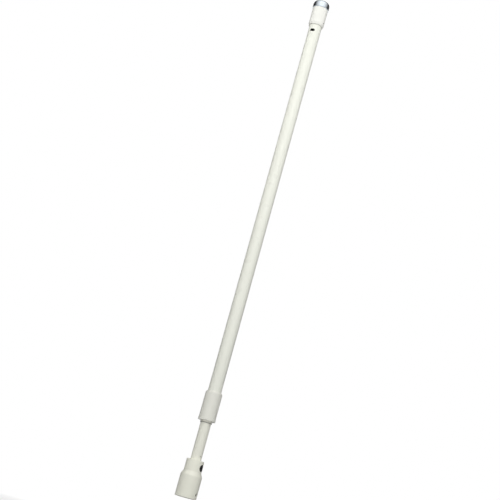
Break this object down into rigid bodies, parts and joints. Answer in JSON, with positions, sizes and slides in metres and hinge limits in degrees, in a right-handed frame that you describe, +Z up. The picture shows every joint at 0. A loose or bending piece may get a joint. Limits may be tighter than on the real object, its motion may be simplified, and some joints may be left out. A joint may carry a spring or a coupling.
{
  "type": "omnidirectional antenna",
  "caption": "Long off-white rod antenna in a radome tube that slides on a thinner support tube, with a stepped socket for a mast below and a bright domed cap above.",
  "frame": {"origin": "centre of the socket's lower rim", "axes": "+Z up along the pole, +X towards the cable hole and the set screws, -Y towards the slot under the collar"},
  "size_m": [0.06, 0.06, 1.5392],
  "materials": {
    "off_white_paint": "satin off-white paint",
    "gel_coat": "satin off-white gel coat over glass fibre",
    "bright_plate": "bright nickel plate",
    "black_steel": "black oxide",
    "black_rubber": "matt",
    "grey_rubber": "matt",
    "natural_nylon": "satin",
    "bare_aluminium": "turned",
    "brass": "bright",
    "copper_wire": "enamelled copper wire",
    "white_insulation": "smooth",
    "grey_foam": "closed-cell foam"
  },
  "bodies": {
    "base": {"mast_socket": "off_white_paint", "socket_set_screw_1": "black_steel", "socket_set_screw_2": "black_steel", "tube_set_screw_1": "black_steel", "tube_set_screw_2": "black_steel", "cable_grommet": "black_rubber", "inner_tube": "off_white_paint", "guide_plug": "natural_nylon"},
    "mast": {"lock_sleeve": "off_white_paint", "top_collar": "off_white_paint", "outer_tube": "gel_coat", "end_fitting": "bright_plate", "jack_body": "bright_plate", "jack_washer": "bright_plate", "jack_nut": "bright_plate", "clamp_screw_1": "black_steel", "clamp_screw_2": "black_steel", "collar_screw_1": "black_steel", "collar_screw_2": "black_steel", "wiper_ring": "grey_rubber", "lower_bushing": "natural_nylon", "top_plug": "natural_nylon", "feed_bulkhead": "bare_aluminium", "jack_contact": "brass", "feed_line_shield": "brass", "feed_line_core": "brass", "choke_sleeve": "brass", "radiator_1": "brass", "radiator_2": "brass", "radiator_3": "brass", "phasing_coil_1": "copper_wire", "phasing_coil_2": "copper_wire", "jack_insulator": "white_insulation", "feed_line_dielectric": "white_insulation", "coil_former_1": "white_insulation", "coil_former_2": "white_insulation", "spacer_1": "grey_foam", "spacer_2": "grey_foam", "spacer_3": "grey_foam", "spacer_4": "grey_foam"}
  },
  "joints": [
    {"name": "telescope_slide", "type": "slide", "parent": "base", "child": "mast", "axis": [0, 0, 1], "range_m": [-0.098, 0.3]}
  ]
}
